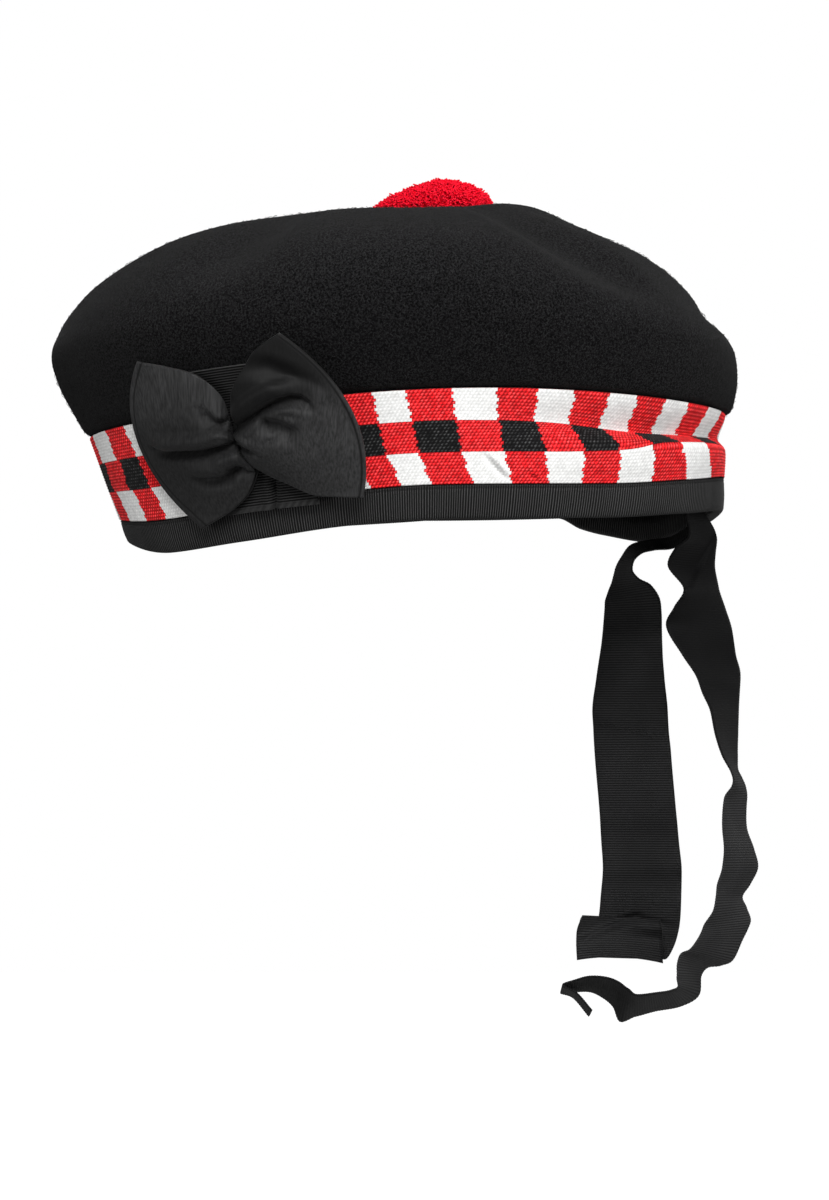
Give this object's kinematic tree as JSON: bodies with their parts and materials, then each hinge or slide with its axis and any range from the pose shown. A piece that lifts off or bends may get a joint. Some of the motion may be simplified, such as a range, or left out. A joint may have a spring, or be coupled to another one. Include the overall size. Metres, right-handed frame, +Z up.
{
  "type": "balmoral bonnet",
  "caption": "Soft felt bonnet with a full crown, a diced tape headband, a ribbon-bound rim, a ribbon bow cockade, hanging ribbon tails and a wool toorie on top.",
  "frame": {"origin": "middle of the head opening, at the level where the rim sits on the head", "axes": "+Z up out of the crown, -Y to the wearer's front, +X to the wearer's left, where the bow is"},
  "size_m": [0.2299, 0.2579, 0.3078],
  "materials": {
    "black_felt": "matt milled wool with a short nap",
    "diced_tape": "coarse woven wool tape in red, black and white checks",
    "black_ribbon": "fine ribbed ribbon with a soft sheen",
    "red_wool": "cut wool pile"
  },
  "bodies": {
    "root": {"crown": "black_felt", "diced_band": "diced_tape", "rim_binding": "black_ribbon", "cockade_backing": "black_ribbon", "cockade_bow": "black_ribbon", "tail_left": "black_ribbon", "tail_right": "black_ribbon", "toorie": "red_wool"}
  },
  "joints": []
}
